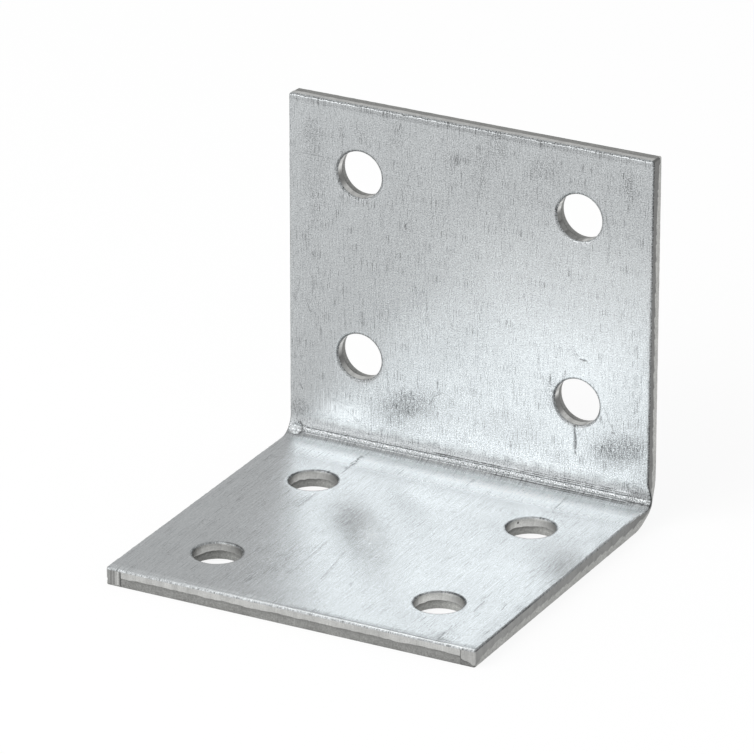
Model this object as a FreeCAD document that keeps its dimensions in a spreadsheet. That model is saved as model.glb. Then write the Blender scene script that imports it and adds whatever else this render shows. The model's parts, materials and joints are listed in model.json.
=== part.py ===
import FreeCAD, Part
import math
import os
import Sketcher

# Angle bracket: a short, wide strip of sheet steel with four punched holes in each leg, folded
# once. +X is the strip's width, the base leg lies on Z = 0 with its free edge towards -Y, and the
# upright leg stands at the +Y end. The origin is in the middle of the legs' footprint, at the
# bottom.

# Driving dimensions, in millimetres: alias, value, what it is.
DIMENSIONS = [
    ("strip_width", 41.0, "width of the strip, across both legs"),
    ("base_leg", 40.0, "base leg, free edge to the upright's outer face"),
    ("upright_leg", 39.2, "upright leg, underside of the base to the top edge"),
    ("sheet_thickness", 1.9, "sheet"),
    ("inner_bend_radius", 1.9, "inside of the fold"),
    ("outer_bend_radius", 4.6, "outside of the fold, where the sheet is drawn thin"),
    ("swell_height", 0.62, "how far the squeezed end of the fold stands out on the right side"),
    ("swell_reach", 2.1, "from the middle of that swelling to where it has died away"),
    ("edge_rollover", 0.22, "rounding of the blanked edge on the punch side"),
    ("hole_diameter", 5.0, "burnished part of each hole"),
    ("rim_width", 0.14, "how far each hole's rim is rolled over, seen from the punch side"),
    ("rim_depth", 0.07, "how deep that rolled rim goes"),
    ("breakout_diameter", 5.3, "torn part of each hole, where it meets the outer face"),
    ("burnish_depth", 0.95, "depth from the inner face to where the tear begins"),
    ("row_spacing", 24.8, "hole centres across the strip"),
    ("base_pitch", 20.0, "hole centres along the base leg"),
    ("upright_pitch", 20.0, "hole centres up the upright leg"),
    ("base_edge_distance", 8.1, "base leg's free edge to its first holes"),
    ("upright_edge_distance", 7.5, "top edge to the upright's first holes"),
    ("coin_radius", 0.5, "nose of the press tool that marks the fold"),
    ("coin_depth", 0.08, "how deep the press tool's nose marks the fold"),
    ("coin_end_margin", 1.35, "from each side of the strip to the end of that mark"),
    ("cut_clearance", 1.0, "how far each cutting shape stands clear of the sheet"),
]

doc = FreeCAD.newDocument("angle_bracket")
sheet = doc.addObject("Spreadsheet::Sheet", "Dimensions")
for row, (alias, value, meaning) in enumerate(DIMENSIONS, start=1):
    sheet.set(f"A{row}", meaning)
    sheet.set(f"B{row}", str(value))
    sheet.setAlias(f"B{row}", alias)
doc.recompute()

body = doc.addObject("PartDesign::Body", "Bracket")
body.Label = "angle_bracket"


def origin_feature(role):
    """The body's own origin plane or axis with that role."""
    return next(item for item in body.Origin.OriginFeatures if item.Role == role)


def formula(text):
    """An expression in which {name} stands for a cell of the dimensions sheet."""
    return text.replace("{", "Dimensions.").replace("}", "")


def new_sketch(name, plane_role):
    """An empty sketch on one of the body's origin planes."""
    sketch = body.newObject("Sketcher::SketchObject", name)
    sketch.AttachmentSupport = [(origin_feature(plane_role), "")]
    sketch.MapMode = "FlatFace"
    return sketch


def dimension(sketch, kind, references, value, expression):
    """Adds a dimension to the sketch and ties it to the dimensions sheet."""
    index = sketch.addConstraint(Sketcher.Constraint(kind, *references, value))
    sketch.setExpression(f"Constraints[{index}]", formula(expression))


def size(alias):
    """The starting value of a driving dimension, for a sketch's first guess."""
    return next(value for name, value, _ in DIMENSIONS if name == alias)


def point(across, up):
    return FreeCAD.Vector(across, up, 0)


# A sketch's numbers for the places on an edge, and for its own axes.
START, END, CENTRE = 1, 2, 3
HORIZONTAL_AXIS, VERTICAL_AXIS = -1, -2
QUARTER_TURN = math.pi / 2
HALF_TURN_DEGREES = 180
PAGE_NORMAL = FreeCAD.Vector(0, 0, 1)


def leg_profile():
    """The folded sheet seen from the side: two legs, joined by an inner and an outer arc."""
    sketch = new_sketch("LegProfile", "YZ_Plane")
    thick = size("sheet_thickness")
    inner = size("inner_bend_radius")
    outer = size("outer_bend_radius")
    front = -size("base_leg") / 2
    back = size("base_leg") / 2
    top = size("upright_leg")
    outer_centre = point(back - outer, outer)
    inner_centre = point(back - thick - inner, thick + inner)

    underside = sketch.addGeometry(Part.LineSegment(point(front, 0), point(back - outer, 0)))
    outer_arc = sketch.addGeometry(
        Part.ArcOfCircle(Part.Circle(outer_centre, PAGE_NORMAL, outer), -QUARTER_TURN, 0))
    outer_face = sketch.addGeometry(Part.LineSegment(point(back, outer), point(back, top)))
    top_edge = sketch.addGeometry(Part.LineSegment(point(back, top), point(back - thick, top)))
    inner_face = sketch.addGeometry(
        Part.LineSegment(point(back - thick, top), point(back - thick, thick + inner)))
    inner_arc = sketch.addGeometry(
        Part.ArcOfCircle(Part.Circle(inner_centre, PAGE_NORMAL, inner), -QUARTER_TURN, 0))
    upper_side = sketch.addGeometry(
        Part.LineSegment(point(back - thick - inner, thick), point(front, thick)))
    front_edge = sketch.addGeometry(Part.LineSegment(point(front, thick), point(front, 0)))

    for line in (underside, top_edge, upper_side):
        sketch.addConstraint(Sketcher.Constraint("Horizontal", line))
    for line in (outer_face, inner_face, front_edge):
        sketch.addConstraint(Sketcher.Constraint("Vertical", line))
    smooth_joins = [
        (underside, END, outer_arc, START),
        (outer_arc, END, outer_face, START),
        (inner_face, END, inner_arc, END),
        (inner_arc, START, upper_side, START),
    ]
    for join in smooth_joins:
        sketch.addConstraint(Sketcher.Constraint("Tangent", *join))
    corners = [
        (outer_face, END, top_edge, START),
        (top_edge, END, inner_face, START),
        (upper_side, END, front_edge, START),
        (front_edge, END, underside, START),
    ]
    for corner in corners:
        sketch.addConstraint(Sketcher.Constraint("Coincident", *corner))
    sketch.addConstraint(
        Sketcher.Constraint("PointOnObject", underside, START, HORIZONTAL_AXIS))

    dimension(sketch, "DistanceX", (underside, START, HORIZONTAL_AXIS, START), back, "{base_leg} / 2")
    dimension(sketch, "DistanceX", (underside, START, outer_face, END), back - front, "{base_leg}")
    dimension(sketch, "DistanceY", (underside, START, outer_face, END), top, "{upright_leg}")
    dimension(sketch, "DistanceY", (front_edge, END, front_edge, START), thick, "{sheet_thickness}")
    dimension(sketch, "DistanceX", (top_edge, END, top_edge, START), thick, "{sheet_thickness}")
    dimension(sketch, "Radius", (outer_arc,), outer, "{outer_bend_radius}")
    dimension(sketch, "Radius", (inner_arc,), inner, "{inner_bend_radius}")
    return sketch


def folded_strip(profile):
    """The plain folded strip, with spare metal on the right for the swelling."""
    strip = body.newObject("PartDesign::Pad", "FoldedStrip")
    strip.Profile = profile
    strip.SideType = "Two sides"
    strip.setExpression("Length", formula("{strip_width} / 2 + {swell_height} + {cut_clearance}"))
    strip.setExpression("Length2", formula("{strip_width} / 2"))
    return strip


def squeezed_side():
    """Trims the right side flat, but for a low bell where the fold ends.

    Folding squeezes the inside of the sheet, and at its end the metal spreads sideways. The bell
    is turned about a line across the strip, through the middle of the fold's inner arc. Its crown
    and its skirt are equal arcs.
    """
    sketch = new_sketch("SqueezedSideSection", "XZ_Plane")
    height = size("swell_height")
    reach = size("swell_reach")
    clear = size("cut_clearance")
    past_legs = size("base_leg") + size("upright_leg")
    outside = height + 2 * clear
    curve = (reach ** 2 + height ** 2) / (4 * height)
    sweep = math.asin(reach / 2 / curve)

    crown = sketch.addGeometry(
        Part.ArcOfCircle(Part.Circle(point(height - curve, 0), PAGE_NORMAL, curve), 0, sweep))
    skirt = sketch.addGeometry(
        Part.ArcOfCircle(Part.Circle(point(curve, reach), PAGE_NORMAL, curve),
                         2 * QUARTER_TURN, 2 * QUARTER_TURN + sweep))
    corners = [
        point(0, reach),
        point(0, past_legs),
        point(outside, past_legs),
        point(outside, 0),
        point(height, 0),
    ]
    lines = [
        sketch.addGeometry(Part.LineSegment(first, second))
        for first, second in zip(corners, corners[1:])
    ]
    flat, over_legs, back, axis_line = lines

    for first, second in zip(lines, lines[1:]):
        sketch.addConstraint(Sketcher.Constraint("Coincident", first, END, second, START))
    sketch.addConstraint(Sketcher.Constraint("Coincident", axis_line, END, crown, START))
    sketch.addConstraint(Sketcher.Constraint("Tangent", crown, END, skirt, END))
    sketch.addConstraint(Sketcher.Constraint("Tangent", skirt, START, flat, START))
    sketch.addConstraint(Sketcher.Constraint("Equal", crown, skirt))
    for line in (flat, back):
        sketch.addConstraint(Sketcher.Constraint("Vertical", line))
    sketch.addConstraint(Sketcher.Constraint("Horizontal", over_legs))
    sketch.addConstraint(Sketcher.Constraint("PointOnObject", flat, START, VERTICAL_AXIS))
    for line, place in ((axis_line, START), (axis_line, END), (crown, CENTRE)):
        sketch.addConstraint(Sketcher.Constraint("PointOnObject", line, place, HORIZONTAL_AXIS))

    origin = (HORIZONTAL_AXIS, START)
    dimension(sketch, "DistanceX", (*origin, axis_line, END), height, "{swell_height}")
    dimension(sketch, "DistanceX", (axis_line, END, axis_line, START), outside - height,
              "2 * {cut_clearance}")
    dimension(sketch, "DistanceY", (*origin, flat, START), reach, "{swell_reach}")
    dimension(sketch, "DistanceY", (*origin, flat, END), past_legs, "{base_leg} + {upright_leg}")

    arc_middle = "({sheet_thickness} + {inner_bend_radius} * (1 - cos(45 deg)))"
    sketch.setExpression("AttachmentOffset.Base.x", formula("{strip_width} / 2"))
    sketch.setExpression("AttachmentOffset.Base.y", formula(arc_middle))
    sketch.setExpression("AttachmentOffset.Base.z", formula(arc_middle + " - {base_leg} / 2"))

    trim = body.newObject("PartDesign::Groove", "SqueezedSide")
    trim.Profile = sketch
    trim.ReferenceAxis = (sketch, ["H_Axis"])
    trim.Angle = 2 * HALF_TURN_DEGREES
    return trim


def is_inner_face(face):
    """Whether a face is on the sheet's inner side: the flat of either leg, or the fold."""
    near = 1e-4
    thick = size("sheet_thickness")
    if isinstance(face.Surface, Part.Cylinder):
        return abs(face.Surface.Radius - size("inner_bend_radius")) < near
    middle = face.CenterOfMass
    above_base = middle.z - thick
    before_upright = size("base_leg") / 2 - thick - middle.y
    return isinstance(face.Surface, Part.Plane) and min(abs(above_base), abs(before_upright)) < near


def punch_side_edges(shape):
    """Names of the edges round the sheet's inner side, which the blanking punch rolled over."""
    names = []
    for number, edge in enumerate(shape.Edges, start=1):
        sides = [is_inner_face(face) for face in shape.ancestorsOfType(edge, Part.Face)]
        if any(sides) and not all(sides):
            names.append(f"Edge{number}")
    return names


def rolled_edges(strip):
    """The soft edge that blanking leaves all round the inner face."""
    rounding = body.newObject("PartDesign::Fillet", "RolledEdges")
    rounding.Base = (strip, punch_side_edges(strip.Shape))
    rounding.setExpression("Radius", formula("{edge_rollover}"))
    return rounding


def punch_section(name, plane_role):
    """Half of a punched hole's section, beside its axis, from the outer face inwards.

    The tear widens towards the outer face, the burnished wall is straight, and the rim on the
    punch side is rolled over in an arc that leaves the sheet's face smoothly.
    """
    sketch = new_sketch(name, plane_role)
    thick = size("sheet_thickness")
    bore = size("hole_diameter") / 2
    torn = size("breakout_diameter") / 2
    rim_edge = bore + size("rim_width")
    rim_depth = size("rim_depth")
    tear_start = thick - size("burnish_depth")
    clear = size("cut_clearance")
    rim_curve = (size("rim_width") ** 2 + rim_depth ** 2) / (2 * rim_depth)
    rim_turn = math.asin(size("rim_width") / rim_curve)

    corners = [
        point(rim_edge, thick),
        point(rim_edge, thick + clear),
        point(0, thick + clear),
        point(0, -clear),
        point(torn, -clear),
        point(torn, 0),
        point(bore, tear_start),
        point(bore, thick - rim_depth),
    ]
    lines = [
        sketch.addGeometry(Part.LineSegment(first, second))
        for first, second in zip(corners, corners[1:])
    ]
    over_rim, over_sheet, axis_line, under_sheet, torn_skirt, tear, burnished = lines
    rim = sketch.addGeometry(
        Part.ArcOfCircle(Part.Circle(point(rim_edge, thick - rim_curve), PAGE_NORMAL, rim_curve),
                         QUARTER_TURN, QUARTER_TURN + rim_turn))

    for first, second in zip(lines, lines[1:]):
        sketch.addConstraint(Sketcher.Constraint("Coincident", first, END, second, START))
    sketch.addConstraint(Sketcher.Constraint("Coincident", burnished, END, rim, END))
    sketch.addConstraint(Sketcher.Constraint("Coincident", rim, START, over_rim, START))
    for line in (over_rim, axis_line, torn_skirt, burnished):
        sketch.addConstraint(Sketcher.Constraint("Vertical", line))
    for line in (over_sheet, under_sheet):
        sketch.addConstraint(Sketcher.Constraint("Horizontal", line))
    sketch.addConstraint(Sketcher.Constraint("PointOnObject", axis_line, START, VERTICAL_AXIS))
    sketch.addConstraint(Sketcher.Constraint("PointOnObject", torn_skirt, END, HORIZONTAL_AXIS))
    sketch.addConstraint(Sketcher.Constraint("Vertical", rim, CENTRE, rim, START))

    origin = (HORIZONTAL_AXIS, START)
    dimension(sketch, "DistanceX", (*origin, torn_skirt, END), torn, "{breakout_diameter} / 2")
    dimension(sketch, "DistanceX", (*origin, burnished, START), bore, "{hole_diameter} / 2")
    dimension(sketch, "DistanceY", (*origin, burnished, START), tear_start,
              "{sheet_thickness} - {burnish_depth}")
    dimension(sketch, "DistanceY", (*origin, over_rim, START), thick, "{sheet_thickness}")
    dimension(sketch, "DistanceX", (burnished, END, over_rim, START), size("rim_width"),
              "{rim_width}")
    dimension(sketch, "DistanceY", (burnished, END, over_rim, START), rim_depth, "{rim_depth}")
    dimension(sketch, "DistanceY", (over_rim, START, over_rim, END), clear, "{cut_clearance}")
    dimension(sketch, "DistanceY", (torn_skirt, START, torn_skirt, END), clear, "{cut_clearance}")
    return sketch


def punched_holes(name, section, along_role, pitch):
    """One hole turned from its section, then repeated across the strip and along the leg."""
    hole = body.newObject("PartDesign::Groove", f"{name}Hole")
    hole.Profile = section
    hole.ReferenceAxis = (section, ["V_Axis"])
    hole.Angle = 2 * HALF_TURN_DEGREES
    doc.recompute()

    holes = body.newObject("PartDesign::LinearPattern", f"{name}Holes")
    holes.Originals = [hole]
    holes.Direction = (origin_feature("X_Axis"), [""])
    holes.Occurrences = 2
    holes.setExpression("Length", formula("{row_spacing}"))
    holes.Direction2 = (origin_feature(along_role), [""])
    holes.Occurrences2 = 2
    holes.setExpression("Length2", formula(pitch))
    body.Tip = holes
    return hole, holes


def base_holes():
    """The four holes of the base leg, their rolled rims on top."""
    section = punch_section("BaseHoleSection", "XZ_Plane")
    section.setExpression("AttachmentOffset.Base.x", formula("-{row_spacing} / 2"))
    section.setExpression("AttachmentOffset.Base.z",
                          formula("{base_leg} / 2 - {base_edge_distance}"))
    return punched_holes("Base", section, "Y_Axis", "{base_pitch}")


def upright_holes():
    """The four holes of the upright leg, their rolled rims on the inner face."""
    section = punch_section("UprightHoleSection", "XY_Plane")
    turned = FreeCAD.Rotation(PAGE_NORMAL, HALF_TURN_DEGREES)
    section.AttachmentOffset = FreeCAD.Placement(FreeCAD.Vector(0, 0, 0), turned)
    section.setExpression("AttachmentOffset.Base.x", formula("-{row_spacing} / 2"))
    section.setExpression("AttachmentOffset.Base.y", formula("{base_leg} / 2"))
    section.setExpression("AttachmentOffset.Base.z",
                          formula("{upright_leg} - {upright_edge_distance} - {upright_pitch}"))
    return punched_holes("Upright", section, "Z_Axis", "{upright_pitch}")


def coined_line():
    """The narrow mark that the press tool's nose leaves along the inside of the fold."""
    sketch = new_sketch("CoinSection", "YZ_Plane")
    radius = size("coin_radius")
    reach = (size("inner_bend_radius") + size("coin_depth") - radius) / 2 ** 0.5
    from_outside = size("sheet_thickness") + size("inner_bend_radius") - reach
    centre = point(size("base_leg") / 2 - from_outside, from_outside)
    nose = sketch.addGeometry(Part.Circle(centre, PAGE_NORMAL, radius))

    axis_to_nose = "({inner_bend_radius} + {coin_depth} - {coin_radius}) * cos(45 deg)"
    outside_to_nose = "{sheet_thickness} + {inner_bend_radius} - " + axis_to_nose
    dimension(sketch, "Radius", (nose,), radius, "{coin_radius}")
    dimension(sketch, "DistanceX", (HORIZONTAL_AXIS, START, nose, CENTRE), centre.x,
              "{base_leg} / 2 - (" + outside_to_nose + ")")
    dimension(sketch, "DistanceY", (HORIZONTAL_AXIS, START, nose, CENTRE), centre.y,
              outside_to_nose)

    mark = body.newObject("PartDesign::Pocket", "CoinedLine")
    mark.Profile = sketch
    mark.SideType = "Symmetric"
    mark.setExpression("Length", formula("{strip_width} - 2 * {coin_end_margin}"))
    return mark


def removed(feature, before):
    """Recomputes and makes sure that the feature took something away."""
    doc.recompute()
    after = feature.Shape.Volume
    if not after < before:
        raise RuntimeError(f"{feature.Name} removes nothing")
    return after


strip = folded_strip(leg_profile())
doc.recompute()
volume = strip.Shape.Volume
side = squeezed_side()
volume = removed(side, volume)
volume = removed(rolled_edges(side), volume)
for make_holes in (base_holes, upright_holes):
    first_hole, all_holes = make_holes()
    volume = removed(all_holes, volume)
volume = removed(coined_line(), volume)

for item in doc.Objects:
    if "Invalid" in item.State or "Error" in item.State:
        raise RuntimeError(f"{item.Name} failed: {item.State}")
if body.Shape.isNull() or not body.Shape.isValid() or len(body.Shape.Solids) != 1:
    raise RuntimeError("the bracket is not one valid solid")

os.makedirs("parts", exist_ok=True)
body.Shape.exportStep(os.path.join("parts", f"{body.Label}.step"))
box = body.Shape.optimalBoundingBox(False)
print(f"{body.Label}: {box.XLength:.3f} x {box.YLength:.3f} x {box.ZLength:.3f} mm,",
      f"{volume:.2f} cubic mm, {len(body.Shape.Faces)} faces")
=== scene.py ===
"""Looks of the angle bracket: sheared edges, punched holes, the pressed fold and the zinc, with
much of their light and shade painted into the colours.
"""
import json
import math

import bpy
import numpy as np
from mathutils import Matrix, Vector
from mathutils.geometry import delaunay_2d_cdt


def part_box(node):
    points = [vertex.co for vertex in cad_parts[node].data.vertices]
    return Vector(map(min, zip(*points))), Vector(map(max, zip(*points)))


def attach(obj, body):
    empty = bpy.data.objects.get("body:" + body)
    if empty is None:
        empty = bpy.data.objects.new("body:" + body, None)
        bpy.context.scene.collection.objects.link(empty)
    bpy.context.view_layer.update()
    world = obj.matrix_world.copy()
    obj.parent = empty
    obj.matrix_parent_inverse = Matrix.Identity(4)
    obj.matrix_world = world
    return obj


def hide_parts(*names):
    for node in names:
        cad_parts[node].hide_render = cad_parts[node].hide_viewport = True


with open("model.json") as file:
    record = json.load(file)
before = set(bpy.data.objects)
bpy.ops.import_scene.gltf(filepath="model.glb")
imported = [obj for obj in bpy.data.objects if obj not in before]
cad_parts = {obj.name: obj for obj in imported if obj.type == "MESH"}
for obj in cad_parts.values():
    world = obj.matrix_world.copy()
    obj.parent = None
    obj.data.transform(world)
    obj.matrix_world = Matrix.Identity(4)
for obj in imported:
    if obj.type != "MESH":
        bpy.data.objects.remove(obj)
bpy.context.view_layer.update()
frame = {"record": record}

# Sizes of the strip, in millimetres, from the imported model.
MM = 0.001
LOW, HIGH = (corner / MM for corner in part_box("angle_bracket"))
MOUNTS = {mount["name"]: mount for mount in frame["record"]["mounts"]}
SHEET = MOUNTS["base_holes"]["pos_m"][2] / MM
HALF_WIDTH = -LOW.x
SWELL_HEIGHT = HIGH.x - HALF_WIDTH
HOLE_RADIUS = MOUNTS["base_holes"]["dims"]["hole_r_mm"]

# Sizes of the fold, of its swollen end and of the cut edges, in millimetres.
INNER_RADIUS = 1.9
OUTER_RADIUS = 4.6
SWELL_REACH = 2.1
SWELL_DEPTH = 1.8
CORNER_RADIUS = 0.25
BURNISH_DEPTH = 0.95
QUARTER_TURN = math.pi / 2
FULL_TURN = 2 * math.pi

# How deep the inner face's relief goes, and where the rolled-over edges and the holes' rims end.
RELIEF_DEPTH = 0.3
ROLL_END = 0.26
RIM_END = 0.16

# The rolled-over edge, as distances from the sheared edge and depths.
EDGE_ROLL = (
    (0.55, 0.0), (0.44, 0.003), (0.34, 0.010), (0.25, 0.024), (0.17, 0.047),
    (0.105, 0.082), (0.055, 0.13), (0.02, 0.19), (0.0, ROLL_END),
)

# Places along the strip, measured on its inner face from the base leg's free edge.
BASE_FLAT = HIGH.y - SHEET - INNER_RADIUS - LOW.y
FOLD_END = BASE_FLAT + INNER_RADIUS * QUARTER_TURN
FOLD_MIDDLE = (BASE_FLAT + FOLD_END) / 2
FOLD_CENTRE_Y = HIGH.y - SHEET - INNER_RADIUS
FOLD_CENTRE_Z = SHEET + INNER_RADIUS
LENGTH = FOLD_END + HIGH.z - FOLD_CENTRE_Z
OUTER_START = HIGH.y - OUTER_RADIUS - LOW.y
OUTER_END = FOLD_END + OUTER_RADIUS - FOLD_CENTRE_Z

# Places of the coined line in the fold and of the pressed lump at its left end.
COIN_END = HALF_WIDTH - 1.35
COIN_PROFILE = (
    (-0.45, 0.0), (-0.25, 0.0), (-0.14, -0.008), (-0.06, 0.03), (0.0, 0.045),
    (0.32, 0.055), (0.38, 0.0), (0.42, -0.03), (0.50, -0.015), (0.70, 0.0),
)
COIN_MIDDLE = FOLD_MIDDLE + 0.16
FINE_LINES = ((0.60, -4.0, 18.3), (0.78, 6.0, 17.2), (-0.36, 3.0, 18.7), (-0.55, 9.0, 18.5))
FINE_LINE_WIDTH = 0.055
# Painted shade along the coined line's edges, where its steps face away from the light: offset from
# the fold's middle, width and darkness.
COIN_EDGE_SHADES = ((0.41, 0.045, 0.75), (0.58, 0.09, 0.2), (-0.11, 0.04, 0.15))
LUMP = (-HALF_WIDTH + 1.0, FOLD_MIDDLE + 0.1)
LUMP_RADIUS = 0.62
LUMP_HEIGHT = 0.10

# A small pit in the wall of one hole, given only as painted shade, a dark spot in the wall's
# colour: x, s and depth.
PIT = (10.27, 29.41, 0.48)

# Places s between the two rows of holes in the base leg and in the upright leg.
FRONT_ROW_END = 20
TOP_ROW_START = 60

# Painted light and shade of the base leg's hole walls, one strength for each hole: left and right
# in the front row, then in the back row.
BASE_HOLE_SHADING = ((0.87, 1.1984), (1.0, 1.12))

# The four sides of the strip, in the order of the outline, and the number that stands for a hole.
FRONT, RIGHT, TOP, LEFT = range(4)
HOLE_EDGE = 4

# Length of the steps at both ends of the front edge.
END_ZONE = 1.62

# Distances that the faces' own points keep from the strip's sides and ends.
SIDE_MARGIN = 0.75
END_MARGIN = 0.8

# The zinc's colour, and the least share of it that is left in the darkest places.
ZINC_COLOUR = (0.470, 0.488, 0.496)
LEAST_FACTOR = 0.15

# Added to s on the outer face in the zinc material, which keeps it clear of the fold's lines.
OUTER_SHIFT = 200.0

# Scratches and small dark lines on the inner face: x and s of both ends, half width, darkness.
STROKES = (
    (-19.7, 68.3, -14.8, 68.3, 0.07, 0.22), (-14.4, 71.8, -14.3, 68.4, 0.08, 0.4),
    (-14.4, 71.2, -14.2, 70.9, 0.12, 0.4), (-7.7, 73.5, -7.8, 72.9, 0.10, 0.45),
    (20.1, 74.0, 20.1, 74.1, 0.12, 0.9), (12.3, 52.4, 12.4, 52.3, 0.12, 0.8),
    (12.75, 51.9, 13.15, 51.8, 0.13, 1.0), (13.15, 51.95, 13.5, 51.85, 0.12, 1.0),
    (13.3, 51.7, 13.65, 51.55, 0.08, 0.7), (12.3, 44.7, 12.2, 44.0, 0.11, 0.75),
    (12.2, 43.95, 12.3, 43.4, 0.20, 0.85), (12.35, 43.35, 12.3, 42.7, 0.22, 0.85),
    (12.4, 42.75, 12.3, 42.0, 0.19, 0.8), (12.3, 41.75, 12.4, 41.4, 0.12, 0.7),
    (15.3, 47.6, 16.0, 45.8, 0.06, 0.45), (16.0, 45.8, 16.7, 44.5, 0.06, 0.45),
    (19.1, 54.6, 19.1, 53.2, 0.08, 0.5), (19.2, 51.4, 19.2, 50.1, 0.08, 0.5),
    (19.2, 48.6, 19.2, 47.3, 0.08, 0.5), (19.3, 46.7, 19.3, 45.7, 0.08, 0.45),
    (15.2, 68.4, 15.9, 65.4, 0.28, 0.20), (15.9, 65.4, 15.6, 62.9, 0.22, 0.24),
    (-2.8, 45.1, -3.8, 44.4, 0.07, 0.5), (-3.8, 44.4, -4.3, 43.4, 0.07, 0.5),
    (-15.7, 41.9, -13.6, 41.4, 0.06, 0.32), (-15.7, 41.9, -12.4, 40.0, 0.06, 0.32),
    (-19.3, 42.8, -19.0, 42.2, 0.10, 0.45), (-10.6, 31.0, -10.7, 33.0, 0.07, 0.9),
    (-10.75, 33.0, -10.6, 33.9, 0.10, 1.1), (-10.95, 33.5, -10.85, 34.5, 0.09, 0.9),
    (-10.65, 34.2, -10.8, 34.9, 0.12, 1.1), (-10.9, 34.8, -10.8, 35.8, 0.10, 1.0),
    (-10.6, 36.2, -10.5, 36.9, 0.06, 0.6), (-10.6, 26.2, -10.6, 21.5, 0.08, 0.55),
    (12.6, 32.4, 12.2, 36.4, 0.07, 0.5), (16.3, 0.3, 16.0, 3.9, 0.06, 0.5),
    (2.0, 34.0, 1.9, 36.0, 0.07, 0.5), (3.0, 7.2, 2.8, 8.2, 0.08, 0.45),
    (-0.4, 7.5, -1.3, 14.5, 0.07, 0.5), (-3.7, 7.1, -4.0, 15.5, 0.07, 0.5),
    (14.1, 31.3, 15.5, 29.6, 0.12, 0.22), (17.1, 18.3, 17.2, 19.2, 0.08, 0.4),
    (18.4, 15.0, 18.3, 17.1, 0.07, 0.45), (16.4, 7.7, 16.2, 10.4, 0.12, 0.6),
    (16.0, 11.1, 15.9, 12.7, 0.08, 0.4), (18.6, 9.4, 18.4, 10.9, 0.10, 0.5),
    (-19.1, 30.2, -19.3, 31.7, 0.07, 0.4), (-19.3, 31.4, -17.9, 31.7, 0.06, 0.3),
    (-9.2, 46.3, -9.1, 43.9, 0.07, 0.4), (-12.0, 52.2, -11.9, 50.6, 0.07, 0.4),
    (-18.5, 52.3, -18.1, 51.0, 0.07, 0.4), (-14.1, 52.2, -14.1, 50.4, 0.06, 0.35),
    (-4.7, 56.0, -4.6, 52.6, 0.07, 0.38), (-8.2, 68.2, -0.5, 68.1, 0.06, 0.16),
    (1.0, 68.1, 9.6, 67.9, 0.06, 0.13), (3.6, 67.0, 3.9, 60.6, 0.06, 0.22),
    (-1.2, 71.4, -1.2, 70.1, 0.08, 0.35), (-14.3, 66.9, -14.2, 62.0, 0.06, 0.25),
    (14.2, 73.4, 14.6, 72.8, 0.06, 0.3), (9.45, 49.6, 9.4, 48.5, 0.09, 0.6),
    (11.1, 50.3, 10.9, 49.5, 0.09, 0.7), (10.2, 52.7, 10.1, 51.5, 0.06, 0.4),
    (7.9, 52.4, 8.3, 48.9, 0.06, 0.25), (-17.9, 55.0, -17.8, 52.6, 0.06, 0.3),
)

# Cloudy places on the inner face, partly the zinc's own clouds and partly painted shade and
# reflection, such as the shade in the dip beside a hole: x and s of the middle, radii, turn in
# degrees, darkness.
CLOUDS_AND_SHADE = (
    (-7.0, 43.0, 3.9, 1.7, -22, 0.155), (17.2, 43.0, 3.4, 1.7, -18, 0.19),
    (1.4, 70.0, 1.1, 2.6, 5, 0.07), (-2.2, 70.6, 0.9, 2.0, 0, 0.07),
    (17.7, 71.6, 0.7, 2.4, 0, 0.12), (-17.9, 70.6, 1.2, 1.8, 5, 0.10),
    (-12.3, 71.5, 0.8, 1.3, 0, 0.10), (8.5, 71.5, 2.2, 1.6, 0, 0.07),
    (-8.0, 72.2, 1.0, 1.6, 0, 0.08), (-13.0, 43.4, 3.8, 1.3, -10, 0.04),
    (-19.3, 40.2, 1.4, 1.2, 0, 0.12), (-14.2, 40.8, 3.4, 0.9, 0, -0.14),
    (-5.2, 22.1, 1.7, 3.7, -20, 0.08), (9.5, 47.6, 0.7, 2.6, 0, 0.12),
    (0.1, 14.0, 1.0, 2.2, -25, 0.035), (18.4, 21.0, 1.6, 3.0, 5, 0.07),
    (-17.5, 66.0, 1.8, 9.0, 5, 0.05), (3.2, 73.0, 1.6, 2.4, 0, 0.08),
    (18.0, 71.0, 0.9, 2.0, 0, 0.10), (-11.2, 23.0, 1.0, 2.2, 5, 0.12),
    (-6.0, 9.0, 2.0, 7.5, 8, 0.06), (16.6, 1.6, 2.2, 1.3, 0, 0.10),
    (-1.0, 40.6, 19.0, 0.9, 0, 0.03),
)

# Painted light and shade over the inner face, standing in for how the reflections fall on it, in
# the same form; the last number is the lightening.
PAINTED_LIGHT = (
    (12.0, 57.5, 20.0, 11.5, 0, 0.22), (6.0, 31.5, 17.0, 5.0, 0, 0.12),
    (-9.0, 31.0, 7.5, 3.6, 0, -0.06), (2.0, 39.75, 34.0, 0.65, 0, -0.18),
    (7.0, 41.3, 9.0, 1.2, 0, -0.05), (16.0, 7.0, 9.0, 11.0, 0, -0.115),
    (20.2, 6.0, 1.5, 13.0, 0, -0.15), (-4.5, 52.5, 7.0, 2.8, -35, 0.08),
    (5.0, 42.6, 6.5, 2.5, 0, -0.09), (17.6, 48.6, 1.9, 3.4, 0, -0.06),
    (-1.0, 18.6, 1.4, 3.4, -25, 0.17), (0.0, 74.2, 40.0, 0.33, 0, -0.26),
    (-7.5, 41.3, 4.5, 0.9, 0, 0.08), (20.0, 43.5, 1.9, 5.0, 0, -0.09),
    (10.3, 40.6, 2.0, 1.1, 0, -0.12),
)


def smooth(share):
    """A smooth step from 0 to 1."""
    share = np.clip(share, 0, 1)
    return share * share * (3 - 2 * share)


def wobble(places, period, count, seed):
    """Smooth noise between -1 and 1 along a closed line, with count knots in its period."""
    knots = np.random.default_rng(seed).uniform(-1, 1, count)
    where = places / period * count
    before = np.floor(where).astype(int)
    share = smooth(where - before)
    return knots[before % count] * (1 - share) + knots[(before + 1) % count] * share


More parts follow.
